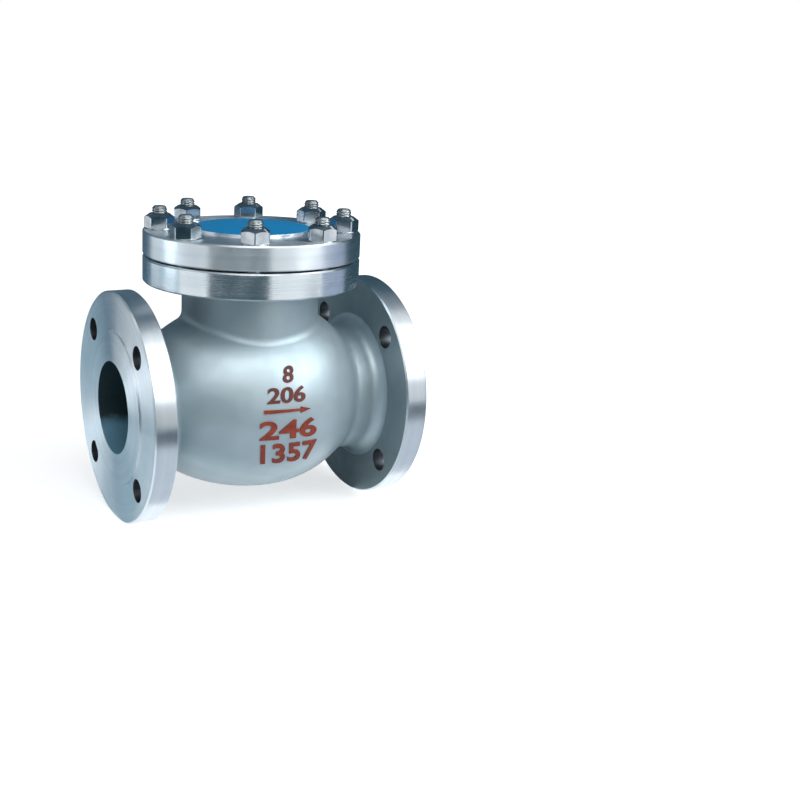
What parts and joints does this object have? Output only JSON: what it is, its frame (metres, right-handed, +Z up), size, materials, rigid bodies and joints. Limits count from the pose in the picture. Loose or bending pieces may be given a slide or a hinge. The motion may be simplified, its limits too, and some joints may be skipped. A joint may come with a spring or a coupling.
{
  "type": "flanged non-return valve",
  "caption": "Swing check valve with two flanged ends, a round bolted cover on top and a hinged disc that closes against backflow.",
  "frame": {"origin": "centre of the inlet flange's bolt circle, on the flange face that the raised face stands on", "axes": "+X along the flow from inlet to outlet, +Z up to the cover, +Y across"},
  "size_m": [0.2413, 0.19, 0.2537],
  "materials": {
    "body_casting": "satin silver paint over cast steel",
    "machined_steel": "turned and polished",
    "seat_steel": "ground stainless steel",
    "fastener_steel": "bright plated",
    "trim_casting": "as cast",
    "gasket": "pressed graphite sheet"
  },
  "bodies": {
    "valve": {"valve_body": "body_casting", "seat_ring": "seat_steel", "cover": "machined_steel", "cover_gasket": "gasket", "cover_studs": "fastener_steel", "cover_nuts": "fastener_steel", "hinge_bracket": "trim_casting", "bracket_screws": "fastener_steel", "bracket_lock_washers": "fastener_steel", "hinge_pin": "seat_steel", "hinge_pin_washers": "fastener_steel", "hinge_pin_cotters": "fastener_steel"},
    "arm": {"swing_arm": "trim_casting"},
    "disc_assembly": {"disc": "seat_steel", "disc_washer": "fastener_steel", "disc_nut": "fastener_steel", "disc_cotter": "fastener_steel"}
  },
  "joints": [
    {"name": "disc_swing", "type": "hinge", "parent": "valve", "child": "arm", "pos_m": [0.08905, 0, 0.058], "axis": [0, -1, 0], "range_deg": [0, 70]},
    {"name": "disc_spin", "type": "hinge", "parent": "arm", "child": "disc_assembly", "pos_m": [0.08305, 0, 0], "axis": [0.9962, 0, 0.0872], "continuous": true}
  ]
}
